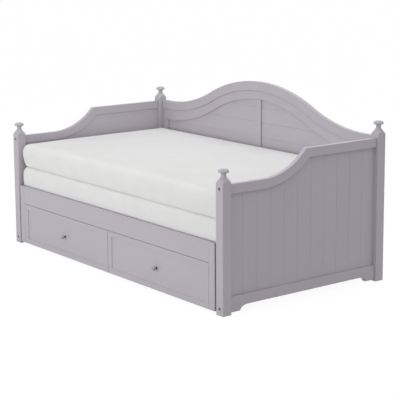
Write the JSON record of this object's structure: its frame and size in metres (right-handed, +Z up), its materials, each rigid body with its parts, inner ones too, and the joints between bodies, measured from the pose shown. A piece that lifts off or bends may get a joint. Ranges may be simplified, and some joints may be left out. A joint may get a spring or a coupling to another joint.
{
  "type": "storage daybed",
  "caption": "Painted wooden daybed with turned posts, swept end panels, an arched back, a pull-out slatted frame on wheels, under-bed drawers and stacked mattresses.",
  "frame": {"origin": "on the floor under the middle of the footprint, drawer knobs included", "axes": "+X along the bed towards the right end as seen from its open front, -Y out of the open front with the drawers, +Z up"},
  "size_m": [2.12, 1.176, 1.035],
  "materials": {
    "paint": "satin lilac-grey paint",
    "pine": "planed, unpainted",
    "board": "white lined board, matt",
    "steel": "zinc plated",
    "nickel": "polished nickel",
    "wheel": "moulded, matt",
    "cover": "plain woven cover"
  },
  "bodies": {
    "root": {"post_front_left": "paint", "post_front_right": "paint", "post_back_left": "paint", "post_back_right": "paint", "end_left_top_rail": "paint", "end_left_bottom_rail": "paint", "end_left_boards": "paint", "end_right_top_rail": "paint", "end_right_bottom_rail": "paint", "end_right_boards": "paint", "back_crest_rail": "paint", "back_top_facing": "paint", "back_stile_left": "paint", "back_stile_right": "paint", "back_muntin": "paint", "back_boards": "paint", "back_bottom_rail": "paint", "bolt_front_left_upper": "steel", "bolt_front_left_lower": "steel", "bolt_front_right_upper": "steel", "bolt_front_right_lower": "steel", "bolt_back_left_upper": "steel", "bolt_back_left_lower": "steel", "bolt_back_right_upper": "steel", "bolt_back_right_lower": "steel", "end_left_cleat": "pine", "end_right_cleat": "pine", "fixed_cross_beam": "pine", "fixed_slats": "pine"},
    "pull_out": {"pull_out_front_rail": "paint", "pull_out_stile_left": "paint", "pull_out_stile_right": "paint", "partition_left": "board", "partition_centre": "board", "partition_right": "board", "pull_out_rear_tie": "board", "sliding_slats": "pine"},
    "wheel_left_front": {"wheel_left_front": "wheel"},
    "wheel_left_back": {"wheel_left_back": "wheel"},
    "wheel_centre_front": {"wheel_centre_front": "wheel"},
    "wheel_centre_back": {"wheel_centre_back": "wheel"},
    "wheel_right_front": {"wheel_right_front": "wheel"},
    "wheel_right_back": {"wheel_right_back": "wheel"},
    "drawer_left": {"drawer_left_front": "paint", "drawer_left_side_left": "board", "drawer_left_side_right": "board", "drawer_left_back": "board", "drawer_left_floor": "board", "drawer_left_knob": "nickel"},
    "drawer_right": {"drawer_right_front": "paint", "drawer_right_side_left": "board", "drawer_right_side_right": "board", "drawer_right_back": "board", "drawer_right_floor": "board", "drawer_right_knob": "nickel"},
    "mattress_lower": {"mattress_lower": "cover"},
    "mattress_upper": {"mattress_upper": "cover"}
  },
  "joints": [
    {"name": "pull_out_slide", "type": "slide", "parent": "root", "child": "pull_out", "axis": [0, -1, 0], "range_m": [0, 0.96]},
    {"name": "drawer_left_slide", "type": "slide", "parent": "pull_out", "child": "drawer_left", "axis": [0, -1, 0], "range_m": [0, 0.5]},
    {"name": "drawer_right_slide", "type": "slide", "parent": "pull_out", "child": "drawer_right", "axis": [0, -1, 0], "range_m": [0, 0.5]},
    {"name": "wheel_left_front_spin", "type": "hinge", "parent": "pull_out", "child": "wheel_left_front", "pos_m": [-0.9327, -0.442, 0.0303], "axis": [1, 0, 0], "continuous": true},
    {"name": "wheel_left_back_spin", "type": "hinge", "parent": "pull_out", "child": "wheel_left_back", "pos_m": [-0.9327, 0.3798, 0.0303], "axis": [1, 0, 0], "continuous": true},
    {"name": "wheel_centre_front_spin", "type": "hinge", "parent": "pull_out", "child": "wheel_centre_front", "pos_m": [0.0213, -0.442, 0.0303], "axis": [1, 0, 0], "continuous": true},
    {"name": "wheel_centre_back_spin", "type": "hinge", "parent": "pull_out", "child": "wheel_centre_back", "pos_m": [0.0213, 0.3798, 0.0303], "axis": [1, 0, 0], "continuous": true},
    {"name": "wheel_right_front_spin", "type": "hinge", "parent": "pull_out", "child": "wheel_right_front", "pos_m": [0.9327, -0.442, 0.0303], "axis": [1, 0, 0], "continuous": true},
    {"name": "wheel_right_back_spin", "type": "hinge", "parent": "pull_out", "child": "wheel_right_back", "pos_m": [0.9327, 0.3798, 0.0303], "axis": [1, 0, 0], "continuous": true},
    {"name": "mattress_lower_lift", "type": "slide", "parent": "root", "child": "mattress_lower", "axis": [0, 0, 1], "range_m": [0, 0.25]},
    {"name": "mattress_upper_lift", "type": "slide", "parent": "mattress_lower", "child": "mattress_upper", "axis": [0, 0, 1], "range_m": [0, 0.25]}
  ],
  "couplings": [
    {"joint": "wheel_left_front_spin", "follows": "pull_out_slide", "rad_per_m": 33.333},
    {"joint": "wheel_left_back_spin", "follows": "pull_out_slide", "rad_per_m": 33.333},
    {"joint": "wheel_centre_front_spin", "follows": "pull_out_slide", "rad_per_m": 33.333},
    {"joint": "wheel_centre_back_spin", "follows": "pull_out_slide", "rad_per_m": 33.333},
    {"joint": "wheel_right_front_spin", "follows": "pull_out_slide", "rad_per_m": 33.333},
    {"joint": "wheel_right_back_spin", "follows": "pull_out_slide", "rad_per_m": 33.333}
  ]
}
